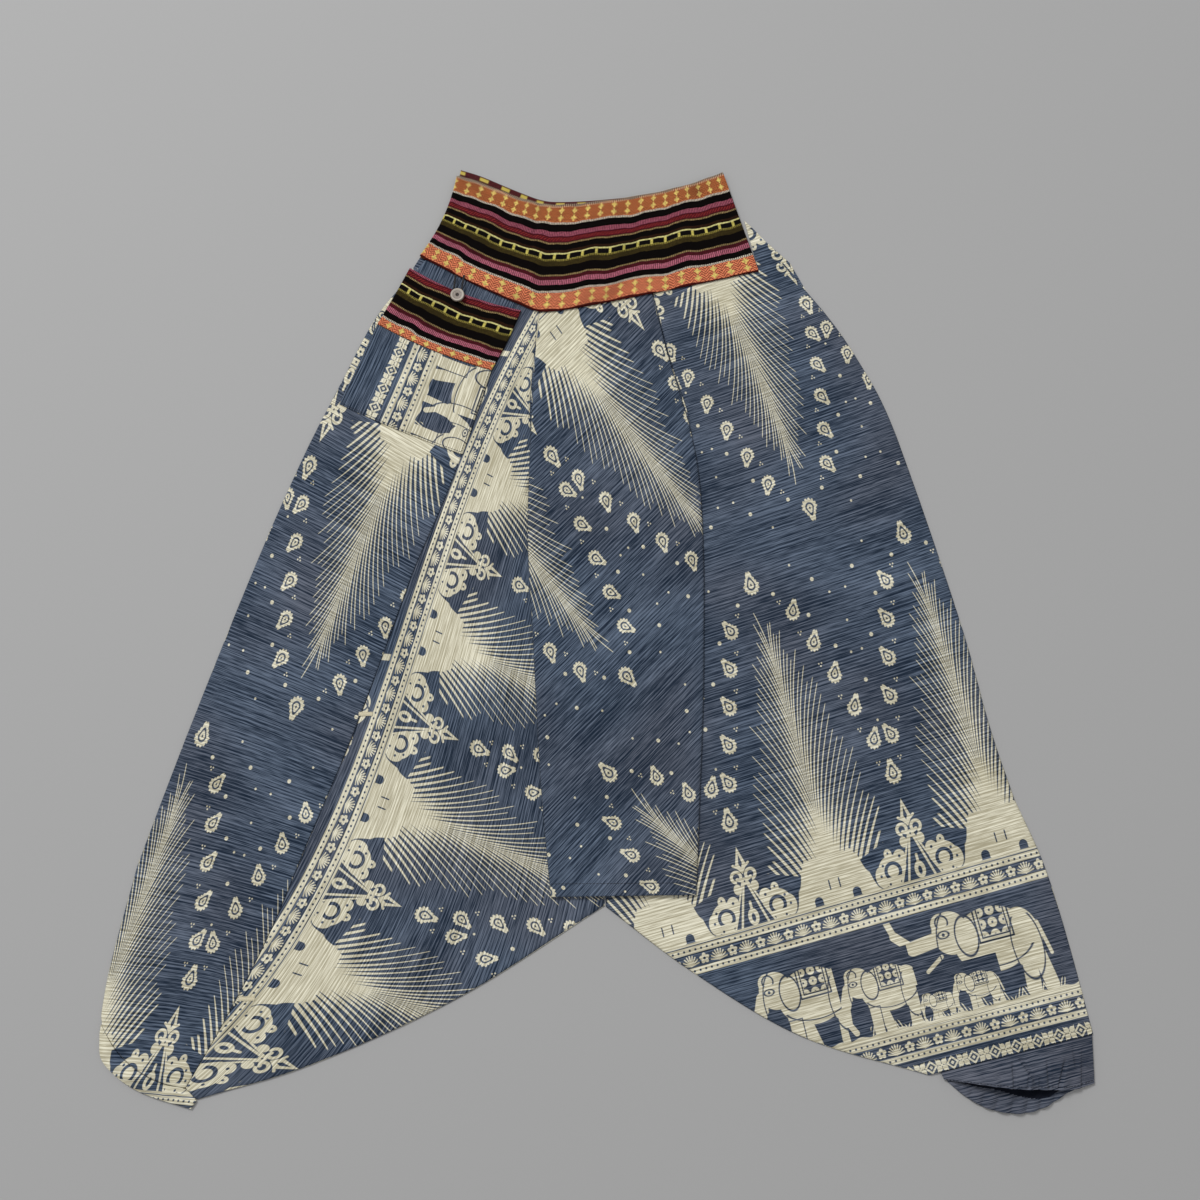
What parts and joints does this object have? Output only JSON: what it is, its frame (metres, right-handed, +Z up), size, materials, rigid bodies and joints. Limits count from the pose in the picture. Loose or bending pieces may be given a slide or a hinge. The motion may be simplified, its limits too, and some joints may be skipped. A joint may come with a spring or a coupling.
{
  "type": "baggy pants",
  "caption": "Baggy drop-crotch harem trousers laid flat front up, with a striped woven waistband, a buttoned patch pocket on one hip, a wide centre pleat and gathered cuffs.",
  "frame": {"origin": "middle of the garment's footprint on the surface it lies on, at the underside", "axes": "+Z up from the surface, +Y from the cuffs towards the waist, +X towards the wearer's left leg"},
  "size_m": [0.92, 0.957, 0.0172],
  "materials": {
    "printed_cotton": "crinkled indigo cotton with a cream print, matt",
    "woven_band": "heavy woven stripes in orange, maroon, pink, olive and black",
    "plain_cuff": "plain indigo cotton, gathered, matt",
    "button_shell": "turned and lightly polished",
    "loop_cord": "black cord"
  },
  "bodies": {
    "root": {"back_right_leg": "printed_cotton", "back_left_leg": "printed_cotton", "front_right_outer": "printed_cotton", "front_right_inner": "printed_cotton", "front_left_leg": "printed_cotton", "front_centre_flap": "printed_cotton", "pleat_underlay": "printed_cotton", "waistband_back": "woven_band", "waistband_front": "woven_band", "pocket_bag": "printed_cotton", "pocket_band": "woven_band", "pocket_button": "button_shell", "button_loop": "loop_cord", "cuff_right_back": "printed_cotton", "cuff_right_front": "printed_cotton", "cuff_left_back": "plain_cuff", "cuff_left_front": "plain_cuff"}
  },
  "joints": []
}
